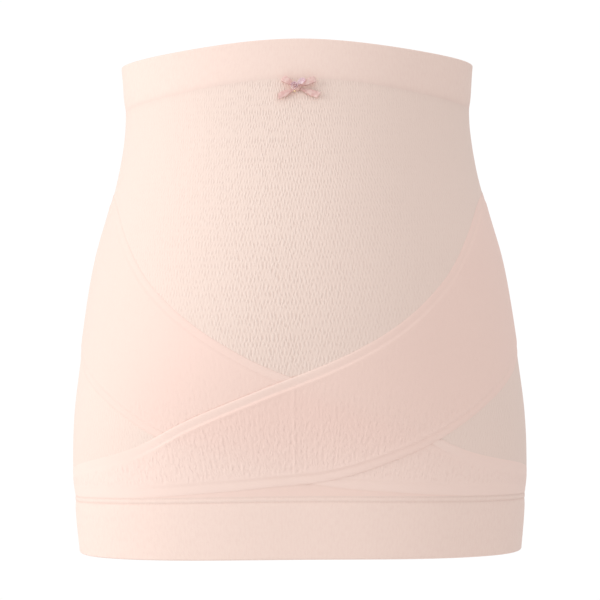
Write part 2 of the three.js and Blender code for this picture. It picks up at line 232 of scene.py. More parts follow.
def finish_mesh(name, vertices, faces, cloth_map=None, marks=None, smooth=None):
    """Object whose faces are shaded smooth, or only those that smooth names. cloth_map is the place on the
    flat cloth at each face corner, in metres, and marks holds named numbers for each vertex that a material
    reads."""
    name = f"{name}_visual"
    mesh = bpy.data.meshes.new(name)
    mesh.from_pydata(np.asarray(vertices).tolist(), [], faces)
    mesh.polygons.foreach_set("use_smooth", np.ones(len(faces), bool) if smooth is None else smooth)
    if cloth_map is not None:
        layer = mesh.uv_layers.new(name="cloth", do_init=False)
        layer.uv.foreach_set("vector", cloth_map.astype(np.float32).ravel())
    for mark, values in (marks or {}).items():
        layer = mesh.attributes.new(mark, "FLOAT", "POINT")
        layer.data.foreach_set("value", values.astype(np.float32).ravel())
    mesh.update()
    piece = bpy.data.objects.new(name, mesh)
    bpy.context.scene.collection.objects.link(piece)
    return piece


def wall(name, outer, inner, places, closed, inner_rows, marks=None):
    """Closed wall from columns of points on the outer and the inner face, both from the lower edge up.
    places gives each column's place on the flat cloth, with one more column where the wall closes on
    itself. inner_rows says which outer row each inner row lies behind. The narrow rims are flat-shaded."""
    columns = len(outer)
    points = np.concatenate([outer, inner[:, ::-1]], 1)
    loop = points.shape[1]
    spans = columns if closed else columns - 1
    c, r = (index.ravel() for index in np.meshgrid(np.arange(spans), np.arange(loop), indexing="ij"))
    right, above = (c + 1) % columns, (r + 1) % loop
    faces = np.stack([c * loop + r, right * loop + r, right * loop + above, c * loop + above], -1)
    height = np.concatenate([outer[..., 2], inner[:, ::-1, 2]], 1) - HEM_Z
    smooth = (r != outer.shape[1] - 1) & (r != loop - 1)
    corner = lambda column, row: np.stack([places[column], height[column % columns, row]], -1)
    cloth_map = np.stack([corner(c, r), corner(c + 1, r), corner(c + 1, above), corner(c, above)], 1)
    faces, cloth_map = faces.tolist(), cloth_map.reshape(-1, 2)
    if not closed:
        caps = []
        for i in range(len(inner_rows) - 1):
            cap = [*range(inner_rows[i], inner_rows[i + 1] + 1), loop - 2 - i, loop - 1 - i]
            caps.append(cap)
            caps.append([(columns - 1) * loop + row for row in reversed(cap)])
        flat = np.array([vertex for cap in caps for vertex in cap])
        cloth_map = np.concatenate([cloth_map, corner(flat // loop, flat % loop)])
        faces += caps
        smooth = np.concatenate([smooth, np.zeros(len(caps), bool)])
    full_marks = {}
    for mark, values in (marks or {}).items():
        full_marks[mark] = np.concatenate([values, values[:, inner_rows][:, ::-1]], 1)
    return finish_mesh(name, points.reshape(-1, 3), faces, cloth_map, full_marks, smooth)


def spread_rows(count, rows):
    """Indices of so many rows, spread evenly over all the rows with both ends."""
    return np.linspace(0, rows - 1, count).round().astype(int).tolist()


RING_COLUMNS = 560


def cloth_ring(name, strip, marks):
    """Ring of cloth right round the body. strip(angle, place) gives the rows of the cloth's outer face
    and those of its inner face, both as heights and distances from the body, and which outer row each
    inner row lies behind."""
    places = (np.arange(RING_COLUMNS + 1) / RING_COLUMNS - 0.5) * GIRTH
    place = places[:-1, None]
    angle = angle_of(place)
    (z, out), (inner_z, inner_out), inner_rows = strip(angle, place)
    outer, inner = skin_point(angle, z, out), skin_point(angle, inner_z, inner_out)
    return wall(name, outer, inner, places, True, inner_rows, marks(angle, z))


# Tube body: stretch openwork, slightly gathered along both seams
TUBE_ROWS = 110
INNER_ROWS = 14
SEAM_SHADE_WIDTH = 2.4 * MM
WAIST_PUCKER_PITCH = 6.5 * MM
WAIST_PUCKER_DEPTH = 0.18 * MM
WAIST_PUCKER_REACH = 7 * MM
HEM_PUCKER_PITCH = 3.8 * MM
HEM_PUCKER_DEPTH = 0.08 * MM
HEM_PUCKER_REACH = 3.5 * MM
PUCKER_SWAY = 0.7
PUCKER_VARIETY = 0.3
UNEVENNESS = 0.25 * MM
UNEVEN_CELLS = (34 * MM, 22 * MM)
HEM_ALLOWANCE = (5.6 * MM, 14 * MM)
OPEN_CENTRE = -22 * MM
OPEN_REACH = 74 * MM
LEAST_OPEN = 0.28


def puckers(place, distance, pitch, depth, reach, seed):
    """Small gathers that fade with the distance from a seam, always inwards."""
    sway = wander(place, distance, 3 * pitch, reach, seed)
    wave = 0.5 + 0.5 * np.cos(2 * math.pi * (place / pitch + PUCKER_SWAY * sway))
    strength = 1 - PUCKER_VARIETY + PUCKER_VARIETY * sway
    return -depth * wave * np.exp(-np.maximum(distance, 0) / reach) * strength


def tube_outside(place, z):
    """Distance of the tube's outer face from the body, away from its seams."""
    return TUBE_CLOTH + UNEVENNESS / 2 * (wander(place, z, *UNEVEN_CELLS, SEEDS["tube"]) - 1)


def gathered_tube(angle, place, z):
    """Distance of the tube's outer face from the body, with the gathers along its seams."""
    at_waist = WAIST_PUCKER_PITCH, WAIST_PUCKER_DEPTH, WAIST_PUCKER_REACH
    at_hem = HEM_PUCKER_PITCH, HEM_PUCKER_DEPTH, HEM_PUCKER_REACH
    cloth = tube_outside(place, z) + puckers(place, waist_seam(angle) - z, *at_waist, SEEDS["waist"])
    return cloth + puckers(place, z - hem_seam(angle), *at_hem, SEEDS["hem"])


# A row this close to a rim, like the second place in each profile below, keeps the shading even up to it
RIM_SHARE = 0.0001


def tube_strip(angle, place):
    bottom, top = hem_seam(angle) + SEAM_GAP / 2, waist_seam(angle) - SEAM_GAP / 2
    shares = np.linspace(0, 1, TUBE_ROWS + 1)
    shares = np.insert(shares, (1, TUBE_ROWS), (RIM_SHARE, 1 - RIM_SHARE))
    z = blend(bottom, top, shares[None, :])
    inner_rows = spread_rows(INNER_ROWS, z.shape[1])
    inner_z = z[:, inner_rows]
    return (z, gathered_tube(angle, place, z)), (inner_z, np.zeros_like(inner_z)), inner_rows


def line_at(where, centre, width):
    """1 at the centre of a line, fading to 0 over a width on both sides of it."""
    return np.exp(-(((where - centre) / width) ** 2))


def tube_marks(angle, z):
    """doubled: the doubled edge at the hem. open: how far the belly stretches the openwork open. seam:
    painted shade along the line of the waist seam."""
    doubled = 1 - smooth_step(z - hem_seam(angle), *HEM_ALLOWANCE)
    opened = blend(LEAST_OPEN, 1, line_at(place_of(angle), OPEN_CENTRE, OPEN_REACH))
    # Painted shade along the waist seam
    seam = line_at(z, waist_seam(angle), SEAM_SHADE_WIDTH)
    return {"doubled": doubled, "open": opened * (1 - doubled), "seam": seam}


# Waistband and hem band: folded cloth with a rounded fold at the free edge
FOLD_RADIUS = FOLDED_CLOTH / 2
WAISTBAND_PROFILE = {
    "from_seam": (0.0, 0.03, 1.0, 2.0, 3.5, 5.5, 8.0, 11.0, 15.0, 20.0),
    "cloth": (1.24, 1.24, 1.30, 1.44, 1.70, 2.00, 2.27, 2.46, 2.58, 2.60),
}
HEM_PROFILE = {
    "from_seam": (0.0, 0.03, 0.3, 0.8, 1.4, 2.2, 3.5, 4.0, 4.4, 5.0, 6.0, 10.0, 20.0),
    "cloth": (1.30, 1.30, 1.22, 1.22, 1.50, 1.62, 1.62, 1.30, 1.30, 1.68, 1.80, 2.25, 2.60),
}
HEM_STITCH_ROWS = (0.7 * MM, 4.2 * MM)
HEM_SHADE_LINE_WIDTH = 0.7 * MM
HEM_FOLD_LINE = 3.6 * MM
HEM_FOLD_LINE_DEPTH = 0.18 * MM
HEM_FOLD_LINE_WIDTH = 0.6 * MM
SEAM_PROFILE_END = 6 * MM
SEAM_JOIN = 9 * MM
FOLDED_UNEVENNESS = 0.06 * MM
FOLDED_CELLS = (26 * MM, 12 * MM)
PLY_CLOTH = 1.15 * MM
THICKEST_PLY = 0.46
FOLD_TURN_ROWS = 11
FOLDED_ROWS = 22


def folded_cloth(profile, from_seam, joined):
    """Distance of a folded strip's outer face from the body. It meets the cloth that it is sewn to, which
    lies joined out at the seam."""
    cloth = follow(profile, "from_seam", "cloth", from_seam / MM) * MM
    return cloth + (joined - profile["cloth"][0] * MM) * (1 - smooth_step(from_seam, 0, SEAM_JOIN))


def folded_strip(seam, edge, profile, joined, place, seed):
    """Rows of a strip folded in two at its free edge, from the outer ply's seam over the fold and back
    to the inner ply's seam."""
    length = np.abs(edge - seam) - FOLD_RADIUS
    from_seam = np.array(profile["from_seam"]) * MM
    near = from_seam[from_seam < SEAM_PROFILE_END]
    spread = np.linspace(0, 1, FOLDED_ROWS + 1)[None, 1:]
    near_rows = np.broadcast_to(near, (len(seam), len(near)))
    flat = np.concatenate([near_rows, blend(near[-1], length, spread)], 1)
    uneven = FOLDED_UNEVENNESS * wander(place, flat, *FOLDED_CELLS, seed)
    cloth = folded_cloth(profile, flat, joined) + uneven * smooth_step(flat, 0, SEAM_JOIN)
    turn = np.linspace(0, math.pi, FOLD_TURN_ROWS + 2)[None, 1:-1]
    back = spread_rows(INNER_ROWS, flat.shape[1])[::-1]

    def folded(flat, cloth, inset):
        half = cloth[:, -1:] / 2
        centre, radius = np.full_like(half, FOLDED_CLOTH) - half, half - inset
        turned = length + radius * np.sin(turn), centre + radius * np.cos(turn)
        inner = np.full((len(seam), len(back)), inset)
        rows = np.concatenate([flat, turned[0], flat[:, back]], 1)
        return rows, np.concatenate([cloth - inset, turned[1], inner], 1)

    rows, out = folded(flat, cloth, 0)
    ply = np.minimum(PLY_CLOTH, THICKEST_PLY * cloth)
    inner_rows = spread_rows(INNER_ROWS, flat.shape[1])
    inner_rows += list(range(flat.shape[1], rows.shape[1]))
    behind_rows, behind = folded(flat, cloth, PLY_CLOTH)
    behind[:, : flat.shape[1]] = cloth - ply
    behind[:, -len(back) :] = ply[:, back]
    way = np.sign(edge - seam)
    inner_face = seam + way * behind_rows[:, inner_rows], behind[:, inner_rows]
    return (seam + way * rows, out), inner_face, inner_rows


def waistband_strip(angle, place):
    seam, top = waist_seam(angle), top_edge(angle)
    joined = gathered_tube(angle, place, seam)
    return folded_strip(seam + SEAM_GAP / 2, top, WAISTBAND_PROFILE, joined, place, SEEDS["waistband"])


def hem_strip(angle, place):
    """The hem's strip, whose rows run from its inner ply to its outer ply, with the fold line pressed in."""
    seam, bottom = hem_seam(angle) - SEAM_GAP / 2, hem_edge(angle)
    joined = gathered_tube(angle, place, hem_seam(angle))
    outer, inner, inner_rows = folded_strip(seam, bottom, HEM_PROFILE, joined, place, SEEDS["hem_band"])
    (z, out), (inner_z, inner_out) = outer, inner
    line = line_at(z, bottom + HEM_FOLD_LINE, HEM_FOLD_LINE_WIDTH)
    out = out - HEM_FOLD_LINE_DEPTH * line * (out > FOLDED_CLOTH / 2)
    last = z.shape[1] - 1
    rows = [last - row for row in reversed(inner_rows)]
    return (z[:, ::-1], out[:, ::-1]), (inner_z[:, ::-1], inner_out[:, ::-1]), rows


def waistband_marks(angle, z):
    # seam: painted shade along the line of the waist seam
    return {"seam": line_at(z, waist_seam(angle), SEAM_SHADE_WIDTH)}


def hem_marks(angle, z):
    """seam: painted shade along the lines of the two rows of stitches."""
    rows = [line_at(z, hem_seam(angle) - below, HEM_SHADE_LINE_WIDTH) for below in HEM_STITCH_ROWS]
    return {"seam": rows[0] + rows[1]}


# Support bands: a thin strip along each edge, a groove beside it, then full cloth with crinkled ribs
RIB_PITCH = 3.9 * MM
COLUMNS_PER_RIB = 6
RIB_DEPTH = 0.08 * MM
RIB_KINKS = (1.3 * RIB_PITCH, 3.6 * MM)
RIB_BENDS = (9 * MM, 21 * MM)
RIB_BEND_SHARE = 0.8
RIB_PHASE_SWAY = 0.6
RIB_FADES = (1.6 * RIB_PITCH, 3.6 * MM)
RIB_VARIETY = 0.4
RIBS_START = (7.2 * MM, 10.5 * MM)
STRIP_HIGHLIGHT_END = (5.6 * MM, 7.2 * MM)
CRINKLE_HEIGHTS = (0.23, 0.35)
TAUT_CRINKLE = 0.3
BAND_PROFILE = {
    "from_edge": (0.0, 0.03, 0.3, 0.8, 1.6, 3.2, 4.8, 5.8, 6.4, 7.0, 7.6, 8.3, 9.2, 10.6),
    "slack": (0.08, 0.10, 0.28, 0.50, 0.64, 0.60, 0.48, 0.40, 0.42, 0.80, 1.12, 1.28, 1.18, 1.05),
    "taut": (0.05, 0.06, 0.14, 0.24, 0.34, 0.42, 0.46, 0.48, 0.52, 0.64, 0.78, 0.92, 1.00, 1.05),
}
TOP_EDGE_SLACK = {"from": (-52, -38), "to": (-10, 28)}
LOWER_EDGE_SLACK = {"from": (-30, -5), "to": (40, 60)}
EDGE_MOST_TAUT = 0.85
THIN_SIDE = (-52, -36)
THINNEST = 0.25
PAINTED_LIGHT_HEIGHTS = (0.15, 0.29)
BAND_MIDDLE_ROWS = 34
BAND_INNER_ROWS = 10
NARROW_BAND = 26 * MM
UNDER_EDGE_LIFT = 0.66 * MM
UNDER_EDGE_RISE = (-3.5 * MM, 0.4 * MM)
UNDER_BODY_LIFT = 0.66 * MM
UNDER_BODY_RISE = (4.6 * MM, 8.4 * MM)
LAYERED_RISE = (-3 * MM, 16 * MM)
CENTRE_CREASE_PLACE = -3.6 * MM
CENTRE_CREASE_WIDTH = 1.0 * MM
CENTRE_CREASE_HEIGHT = 0.16 * MM


def band_rows(lower, upper):
    """Heights of a band's rows, close together along both edges."""
    edge = np.array(BAND_PROFILE["from_edge"])[None, :] * MM
    squeeze = np.minimum(1, (upper - lower) / NARROW_BAND)
    low, high = lower + edge * squeeze, upper - edge[:, ::-1] * squeeze
    share = np.linspace(0, 1, BAND_MIDDLE_ROWS + 2)[None, 1:-1]
    middle = blend(low[:, -1:], high[:, :1], share)
    return np.concatenate([low, middle, high], 1), squeeze


def from_band_edge(z, lower, upper):
    return np.minimum(z - lower, upper - z)


def crinkled_ribs(place, z, seed):
    """Upright ribs from 0 to 1 that sway, fork and fade along their length."""
    sway = wander(place, z, *RIB_KINKS, seed) + RIB_BEND_SHARE * wander(place, z, *RIB_BENDS, seed + 1)
    wave = 0.5 + 0.5 * np.cos(2 * math.pi * (place / RIB_PITCH + RIB_PHASE_SWAY * sway))
    return wave * (1 - RIB_VARIETY + RIB_VARIETY * wander(place, z, *RIB_FADES, seed + 2))


def crinkle(z):
    """How crinkled a band is: fully near the hem, and little where it is taut over the hips."""
    taut = smooth_step((z - HEM_Z) / FRONT_LENGTH, *CRINKLE_HEIGHTS)
    return blend(1, TAUT_CRINKLE, taut)


def lift_over(angle, z):
    """How far the over band is lifted by the under band, whose strip and step show through it."""
    lower, upper = band_edges(UNDER_BAND_EDGES, -angle)
    inside = from_band_edge(z, lower, upper)
    edge, body = smooth_step(inside, *UNDER_EDGE_RISE), smooth_step(inside, *UNDER_BODY_RISE)
    return edge * UNDER_EDGE_LIFT + body * UNDER_BODY_LIFT


def layered_over(angle, z):
    """How fully the over band lies on the under band."""
    return smooth_step(from_band_edge(z, *band_edges(UNDER_BAND_EDGES, -angle)), *LAYERED_RISE)


def slack_stretch(angle, stretch):
    """1 where a band's edge is slack and stands out, and 0 where it is pulled flat."""
    return smooth_step(angle, *stretch["from"]) * (1 - smooth_step(angle, *stretch["to"]))


def band_cloth(place, angle, z, distance, slackness, crinkled, seed):
    """Thickness of a band: its edge profile, thinned out at the side, with the ribs pressed in."""
    slack, taut = (follow(BAND_PROFILE, "from_edge", pull, distance / MM) * MM for pull in ("slack", "taut"))
    cloth = blend(slack, taut, EDGE_MOST_TAUT * (1 - slackness))
    cloth = cloth * blend(THINNEST, 1, smooth_step(angle, *THIN_SIDE))
    return cloth - RIB_DEPTH * crinkled * (1 - crinkled_ribs(place, z, seed))


def support_band(name, table, side, seed, over):
    """One of the two bands, from its end at the hem to the centre back. A side of -1 mirrors it."""
    first, last = place_of(BAND_END_ANGLE), GIRTH / 2 - PIECE_GAP
    count = round((last - first) / RIB_PITCH * COLUMNS_PER_RIB)
    places = np.linspace(first, last, count + 1)
    place = places[:, None]
    angle = angle_of(place)
    lower, upper = band_edges(table, angle)
    z, squeeze = band_rows(lower, upper)
    distance = from_band_edge(z, lower, upper) / squeeze
    near_top = z > (lower + upper) / 2
    slack_top, slack_lower = slack_stretch(angle, TOP_EDGE_SLACK), slack_stretch(angle, LOWER_EDGE_SLACK)
    slackness = np.where(near_top, slack_top, slack_lower)
    inset = smooth_step(distance, *RIBS_START)
    crinkled = inset * crinkle(z)
    cloth = band_cloth(place, angle, z, distance, slackness, crinkled, seed)
    seat = tube_outside(side * place, z) + LAYER_GAP
    if over:
        crease = line_at(place, CENTRE_CREASE_PLACE, CENTRE_CREASE_WIDTH)
        cloth = cloth + CENTRE_CREASE_HEIGHT * crease * inset
        seat = seat + lift_over(angle, z)
    inner_rows = spread_rows(BAND_INNER_ROWS, z.shape[1])
    outer = skin_point(angle, z, seat + cloth)
    inner = skin_point(angle, z[:, inner_rows], seat[:, inner_rows])
    marks = {
        "layered": layered_over(angle, z) if over else np.zeros_like(z),
        # strip: painted highlight along the upper edge strip where it is slack and stands out
        "strip": (1 - smooth_step(distance, *STRIP_HIGHLIGHT_END)) * slackness * near_top,
        "crinkle": crinkled,
        # low: painted light, lighter towards the hem
        "low": 1 - smooth_step((z - HEM_Z) / FRONT_LENGTH, *PAINTED_LIGHT_HEIGHTS),
    }
    if side < 0:
        mirror = np.array([-1, 1, 1])
        outer, inner = (outer * mirror)[::-1], (inner * mirror)[::-1]
        places = -places[::-1]
        marks = {mark: values[::-1] for mark, values in marks.items()}
    return wall(name, outer, inner, places, False, inner_rows, marks)


# Stitches: short rounded threads that lie on the cloth
THREAD_SIDES = 5
THREAD_SHAPE = {"along": (0.0, 0.12, 0.5, 0.88, 1.0), "radius": (0.35, 0.85, 1.0, 0.85, 0.35)}


def threads(name, starts, ends, outwards, radius, arch):
    """Many short threads as one mesh, each from a start to an end, arched outwards in the middle."""
    along = np.array(THREAD_SHAPE["along"])
    width = np.array(THREAD_SHAPE["radius"]) * radius
    run = ends - starts
    run /= np.linalg.norm(run, axis=1, keepdims=True)
    across = np.cross(run, outwards)
    across /= np.linalg.norm(across, axis=1, keepdims=True)
    up = np.cross(across, run)
    turn = 2 * math.pi * np.arange(THREAD_SIDES) / THREAD_SIDES
    middle = starts[:, None] + (ends - starts)[:, None] * along[None, :, None]
    middle = middle + outwards[:, None] * (arch * np.sin(math.pi * along))[None, :, None]
    ring = across[:, None, None] * np.cos(turn)[None, None, :, None]
    ring = ring + up[:, None, None] * np.sin(turn)[None, None, :, None]
    points = middle[:, :, None] + ring * width[None, :, None, None]
    count, rings = points.shape[:2]
    each = rings * THREAD_SIDES
    faces = []
    for r in range(rings - 1):
        for s in range(THREAD_SIDES):
            beside = (s + 1) % THREAD_SIDES
            low, high = r * THREAD_SIDES, (r + 1) * THREAD_SIDES
            faces.append([low + s, low + beside, high + beside, high + s])
    first_cap = list(reversed(range(THREAD_SIDES)))
    last_cap = [each - THREAD_SIDES + s for s in range(THREAD_SIDES)]
    one = faces + [first_cap, last_cap]
    all_faces = [[i * each + v for v in face] for i in range(count) for face in one]
    return finish_mesh(name, points.reshape(-1, 3), all_faces)


def outward(angle, z):
    """Unit direction straight out of the worn form."""
    step = 1 * MM
    out = skin_point(angle, z, step) - skin_point(angle, z, 0)
    return out / np.linalg.norm(out, axis=-1, keepdims=True)


HEM_STITCH_PITCH = 2.2 * MM
HEM_STITCH_SHARE = 0.62
HEM_TIE_INSET = 0.5 * MM
HEM_THREAD_RADIUS = 0.19 * MM
HEM_THREAD_SINK = 0.02 * MM
HEM_THREAD_ARCH = 0.04 * MM


def hem_stitching():
    """Two rows of stitches along the hem seam, tied by upright threads between them."""
    count = round(GIRTH / HEM_STITCH_PITCH)
    place = (np.arange(count) / count - 0.5) * GIRTH
    angle, after = angle_of(place), angle_of(place + HEM_STITCH_SHARE * HEM_STITCH_PITCH)

    def on_hem(angle, below_seam):
        joined = gathered_tube(angle, place_of(angle), hem_seam(angle))
        cloth = folded_cloth(HEM_PROFILE, below_seam, joined)
        return skin_point(angle, hem_seam(angle) - below_seam, cloth - HEM_THREAD_SINK)

    starts = [on_hem(angle, row) for row in HEM_STITCH_ROWS]
    ends = [on_hem(after, row) for row in HEM_STITCH_ROWS]
    starts.append(on_hem(angle, HEM_STITCH_ROWS[0] + HEM_TIE_INSET))
    ends.append(on_hem(angle, HEM_STITCH_ROWS[1] - HEM_TIE_INSET))
    away = [outward(angle, hem_seam(angle))] * 3
    arrays = [np.concatenate(part) for part in (starts, ends, away)]
    return threads("hem_stitching", *arrays, HEM_THREAD_RADIUS, HEM_THREAD_ARCH)


# Bow
BOW_BELOW_WAISTBAND = 7.4 * MM
RIBBON_CLOTH = 0.4 * MM
RIBBON_WIDTH = 4.6 * MM
KNOT_RADIUS = 2.3 * MM
RIBBON_PINCH_WIDTH = 0.74 * KNOT_RADIUS
LOOP_BULGE = 2.9 * MM
LOOP_ROOT_BULGE = 0.55 * LOOP_BULGE
KNOT_DEPTH = LOOP_BULGE + 0.5 * MM
ROSETTE_RADIUS = 3.2 * MM
ROSETTE_DEPTH = 2.4 * MM
ROSETTE_RIM_DEPTH = 0.7 * ROSETTE_DEPTH
ROSETTE_FLARE = 1.18
ROSETTE_OFFSET_X = -1.7 * MM
ROSETTE_CLOTH = 0.32 * MM
ROSETTE_HEART_RADIUS = 0.6 * MM
ROSETTE_TURNS = 2.2
ROSETTE_END_ANGLE = -80
PETAL_LENGTH = 6.2 * MM
PETAL_WIDTH = 4.2 * MM
PETAL_DEPTH = 0.95 * MM
PETAL_DIRECTION = 36
PETAL_TUCK = 0.4 * MM
BEAD_RADIUS = 0.9 * MM
RIBBON_OPENS = 0.6

BOW_LOOPS = (("bow_loop_left", 146, 12.6 * MM), ("bow_loop_right", 25, 14.6 * MM))
BOW_TAILS = (("bow_tail_left", 206, 15.6 * MM), ("bow_tail_right", -21, 17.4 * MM))


def bow_frame():
    """Place and lean of the bow: below the waist seam, level with the waistband's outer face."""
    z = float(waist_seam(0)) - BOW_BELOW_WAISTBAND
    seat = skin_point(0, z, FOLDED_CLOTH + PIECE_GAP)
    below = skin_point(0, z - RIBBON_WIDTH, FOLDED_CLOTH + PIECE_GAP)
    lean = math.atan2(seat[1] - below[1], seat[2] - below[2])
    return Matrix.Translation(Vector(seat)) @ Matrix.Rotation(-lean, 4, "X")


BOW_FRAME = np.array(bow_frame())


def in_bow(points):
    return points @ BOW_FRAME[:3, :3].T + BOW_FRAME[:3, 3]


def bow_point(direction, along, across, out):
    """Points in the bow's own frame: along and across a ribbon, and out from the cloth."""
    turn = np.radians(direction)
    x = along * np.cos(turn) - across * np.sin(turn)
    z = along * np.sin(turn) + across * np.cos(turn)
    return np.stack(np.broadcast_arrays(x, -out, z), -1)


def ribbon_half_width(share):
    return blend(RIBBON_PINCH_WIDTH, RIBBON_WIDTH, smooth_step(share, 0, RIBBON_OPENS)) / 2


RIBBON_ACROSS = 13
LOOP_COLUMNS = 72
TAIL_COLUMNS = 40
GATHER_HEIGHT = 0.35 * MM
LOOP_EDGE_FALL = 0.12
LOOP_TIP_ROUNDING = 0.5 * MM
TAIL_RIDGE = 1.3
TAIL_RIDGE_POWER = 1.6
TAIL_CURL = 0.5 * MM
KNOT_RIM = 0.80
KNOT_TOP = 0.70
KNOT_CREASES = 10
KNOT_CREASE_DEPTH = 0.04
ROSETTE_WAVES = 5
ROSETTE_WAVE_HEIGHT = 0.14 * MM
ROSETTE_FLARE_POWER = 1.8
ROSETTE_RIBBON = 30 * MM
PETAL_RUFFLES = 6
PETAL_RUFFLE_DEPTH = 0.03
BEAD_POLE = 0.02


def bow_loop(name, direction, reach):
    """A loop of ribbon whose two plies leave the knot and meet in a round fold at the tip."""
    start = KNOT_RADIUS + PIECE_GAP
    middle = LOOP_BULGE / 2 + RIBBON_CLOTH
    turn = (2 * math.pi * np.arange(LOOP_COLUMNS) / LOOP_COLUMNS)[:, None]
    across = np.linspace(-1, 1, RIBBON_ACROSS)[None, :]
    share = (1 - np.cos(turn)) / 2

    def ply(inset):
        half = blend(LOOP_ROOT_BULGE, LOOP_BULGE, share) / 2 - inset
        gather = GATHER_HEIGHT * (1 - share) ** 1.5 * np.cos(2.5 * math.pi * across) * np.sin(turn)
        out = half * np.sin(turn) * (1 - LOOP_EDGE_FALL * across**2) + middle + 0.5 * gather
        along = blend(start + inset, reach - inset, share) - LOOP_TIP_ROUNDING * share * across**2
        return in_bow(bow_point(direction, along, across * ribbon_half_width(share), out))

    places = np.arange(LOOP_COLUMNS + 1) * (2 * reach) / LOOP_COLUMNS
    rows = list(range(RIBBON_ACROSS))
    return wall(name, ply(0), ply(RIBBON_CLOTH), places, True, rows)


def bow_tail(name, direction, reach):
    """A tail of ribbon with a soft ridge along it and a slanting cut at its end."""
    start = KNOT_RADIUS + PIECE_GAP
    share = np.linspace(0, 1, TAIL_COLUMNS + 1)[:, None]
    across = np.linspace(-1, 1, RIBBON_ACROSS)[None, :]
    slant = RIBBON_WIDTH / 3
    along = blend(start, reach - slant * share * (1 - across) / 2, share)
    ridge = (1 - np.abs(across) ** TAIL_RIDGE_POWER) * RIBBON_CLOTH * (TAIL_RIDGE - share)
    gather = GATHER_HEIGHT * (1 - share) ** 2 * (0.5 + 0.5 * np.cos(3 * math.pi * across))
    curl = TAIL_CURL * share**2 * (0.5 + 0.5 * across)

    def ply(thickness):
        out = thickness + ridge + gather + curl
        return in_bow(bow_point(direction, along, across * ribbon_half_width(share), out))

    places = np.linspace(0, reach, TAIL_COLUMNS + 1)
    return wall(name, ply(RIBBON_CLOTH), ply(0), places, False, list(range(RIBBON_ACROSS)))


def turned(name, outline, sides, radius_at, offset=(0, 0), stretch=(1, 1), angle=0):
    """Solid turned about the bow's outward direction. outline has rows of radius and distance out;
    radius_at(turn, radius) may vary the radius round it."""
    turn = 2 * math.pi * np.arange(sides) / sides
    tilt = math.radians(angle)
    rings = []
    for radius, out in outline:
        r = radius_at(turn, radius)
        x, z = r * np.cos(turn) * stretch[0], r * np.sin(turn) * stretch[1]
        across = x * math.cos(tilt) - z * math.sin(tilt) + offset[0]
        up = x * math.sin(tilt) + z * math.cos(tilt) + offset[1]
        rings.append(np.stack([across, np.full(sides, -out), up], -1))
    points = np.concatenate(rings)
    faces = [list(reversed(range(sides)))]
    for r in range(len(rings) - 1):
        for s in range(sides):
            beside = (s + 1) % sides
            faces.append([r * sides + s, r * sides + beside, (r + 1) * sides + beside, (r + 1) * sides + s])
    faces.append([(len(rings) - 1) * sides + s for s in range(sides)])
    return finish_mesh(name, in_bow(points), faces)


def bow_knot():
    """A low dome over the ribbons' roots, with shallow creases round its side."""
    back = TUBE_CLOTH - FOLDED_CLOTH
    steps = 16
    outline = [(KNOT_RIM * KNOT_RADIUS, back)]
    for i in range(1, steps):
        share = i / steps
        bulge = math.sin(math.pi * share) ** 0.5
        outline.append((blend(KNOT_RIM, 1.0, bulge) * KNOT_RADIUS, blend(back, KNOT_DEPTH, share)))
    outline.append((KNOT_TOP * KNOT_RADIUS, KNOT_DEPTH))
    crease = lambda turn: 0.5 + 0.5 * np.cos(KNOT_CREASES * turn)
    creased = lambda turn, radius: radius * (1 - KNOT_CREASE_DEPTH * crease(turn))
    return turned("bow_knot", outline, 60, creased)


def bow_rosette():
    """A strip of ribbon wound into a small rose, its rim opened out in soft waves."""
    back = KNOT_DEPTH + PIECE_GAP
    columns, rows = 220, 9
    share = np.linspace(0, 1, columns + 1)[:, None]
    rise = np.linspace(0, 1, rows)[None, :]
    turn = ROSETTE_END_ANGLE - 360 * ROSETTE_TURNS * (1 - share)
    radius = blend(ROSETTE_HEART_RADIUS, ROSETTE_RADIUS / ROSETTE_FLARE, share)
    waves = ROSETTE_WAVE_HEIGHT * share * np.sin(np.radians(turn) * ROSETTE_WAVES)
    depth = blend(ROSETTE_DEPTH, ROSETTE_RIM_DEPTH, share) + waves

    def ply(inset):
        spread = radius * blend(1, ROSETTE_FLARE, rise**ROSETTE_FLARE_POWER) - inset + waves * rise
        out = back + depth * rise
        return bow_point(turn, spread, 0, out) + np.array([ROSETTE_OFFSET_X, 0, 0])

    places = np.linspace(0, ROSETTE_RIBBON, columns + 1)
    return wall("bow_rosette", in_bow(ply(0)), in_bow(ply(ROSETTE_CLOTH)), places, False, list(range(rows)))


def bow_petal():
    """A petal beside the rose: a shallow oval dish with a thicker rolled rim."""
    back = KNOT_DEPTH + PIECE_GAP
    reach = ROSETTE_RADIUS - PETAL_TUCK + PETAL_LENGTH / 2
    tilt = math.radians(PETAL_DIRECTION)
    offset = (reach * math.cos(tilt) + ROSETTE_OFFSET_X, reach * math.sin(tilt))
    shares = ((0.02, 0), (0.35, 0.03), (0.62, 0.12), (0.86, 0.36), (0.98, 0.62), (1.0, 0.78), (0.98, 0.92),
              (0.93, 1.0), (0.86, 0.95), (0.74, 0.78), (0.55, 0.62), (0.3, 0.53), (0.02, 0.5))
    outline = [(radius * PETAL_WIDTH / 2, back + out * PETAL_DEPTH) for radius, out in shares]
    ruffled = lambda turn, radius: radius * (1 + PETAL_RUFFLE_DEPTH * np.sin(PETAL_RUFFLES * turn))
    stretch = (PETAL_LENGTH / PETAL_WIDTH, 1)
    return turned("bow_petal", outline, 56, ruffled, offset, stretch, PETAL_DIRECTION)


def bow_bead():
    back = KNOT_DEPTH + PIECE_GAP
    steps = 12
    outline = []
    for i in range(steps + 1):
        turn = math.pi * blend(BEAD_POLE, 1 - BEAD_POLE, i / steps)
        outline.append((BEAD_RADIUS * math.sin(turn), back + BEAD_RADIUS * (1 - math.cos(turn))))
    offset = (ROSETTE_OFFSET_X, -ROSETTE_RADIUS - PIECE_GAP - BEAD_RADIUS)
    return turned("bow_bead", outline, 24, lambda turn, radius: np.full_like(turn, radius), offset)


